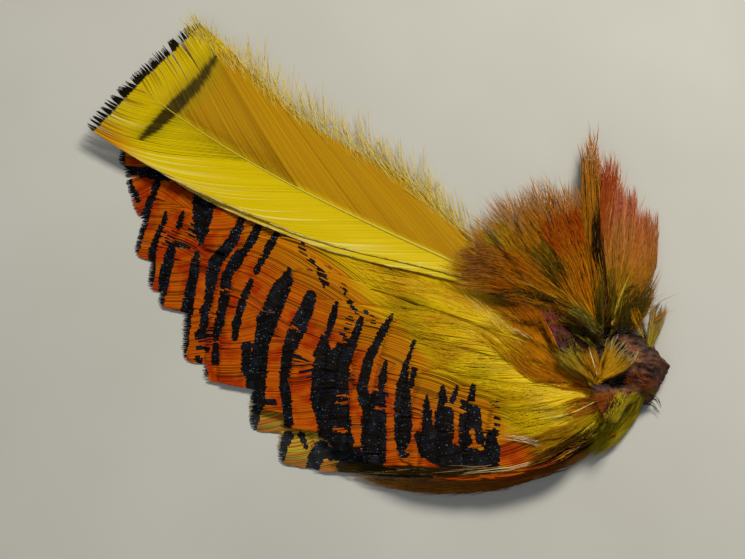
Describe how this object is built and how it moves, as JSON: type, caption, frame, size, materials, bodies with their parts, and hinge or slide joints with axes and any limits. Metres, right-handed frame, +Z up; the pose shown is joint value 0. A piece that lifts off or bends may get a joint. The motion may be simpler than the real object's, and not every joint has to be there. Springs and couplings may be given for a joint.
{
  "type": "golden pheasant tippet",
  "caption": "Dried pheasant neck skin lying flat, with black-barred orange tippet feathers fanned to one side, yellow tippets over them and a tuft of ginger neck feathers.",
  "frame": {"origin": "middle of the bounding box, on the surface that the object lies on", "axes": "+X from the fanned tips to the skin, +Y from the fan's lower edge to the large yellow tip, +Z up from the surface"},
  "size_m": [0.1126, 0.0996, 0.0092],
  "materials": {
    "barred_vane": "orange-gold feather vane with black bars",
    "pale_vane": "pale yellow feather vane with a dark tip",
    "yellow_vane": "bright yellow feather vane with a black fringe",
    "golden_plume": "silky golden feather",
    "neck_vane": "soft ginger feather with hairy tips",
    "brown_vane": "brown feather edge",
    "dried_skin": "dark dried skin, wrinkled"
  },
  "bodies": {
    "root": {"barred_tippet_01": "barred_vane", "barred_tippet_02": "barred_vane", "barred_tippet_03": "barred_vane", "barred_tippet_04": "barred_vane", "barred_tippet_05": "barred_vane", "barred_tippet_06": "barred_vane", "barred_tippet_07": "barred_vane", "barred_tippet_08": "barred_vane", "barred_tippet_09": "barred_vane", "barred_tippet_10": "barred_vane", "barred_tippet_11": "barred_vane", "barred_tippet_12": "barred_vane", "barred_tippet_13": "barred_vane", "barred_tippet_14": "barred_vane", "barred_tippet_15": "barred_vane", "barred_tippet_16": "barred_vane", "barred_tippet_17": "barred_vane", "barred_tippet_18": "barred_vane", "barred_tippet_19": "barred_vane", "barred_tippet_20": "barred_vane", "barred_tippet_21": "barred_vane", "barred_tippet_22": "barred_vane", "dried_skin": "dried_skin", "golden_plume_1": "golden_plume", "golden_plume_2": "golden_plume", "golden_plume_3": "golden_plume", "golden_plume_4": "golden_plume", "golden_plume_5": "golden_plume", "large_tippet_under": "yellow_vane", "large_tippet_upper": "yellow_vane", "neck_feather_01": "neck_vane", "neck_feather_02": "neck_vane", "neck_feather_03": "neck_vane", "neck_feather_04": "neck_vane", "neck_feather_05": "neck_vane", "neck_feather_06": "neck_vane", "neck_feather_07": "neck_vane", "neck_feather_08": "neck_vane", "neck_feather_09": "neck_vane", "neck_feather_10": "neck_vane", "neck_feather_spike": "neck_vane", "pale_tippet_1": "pale_vane", "pale_tippet_2": "pale_vane", "pale_tippet_3": "pale_vane", "rim_feather_inner": "brown_vane", "rim_feather_outer": "brown_vane", "side_feather": "golden_plume", "small_feather_left": "golden_plume", "small_feather_middle": "golden_plume", "small_feather_right": "golden_plume"}
  },
  "joints": []
}
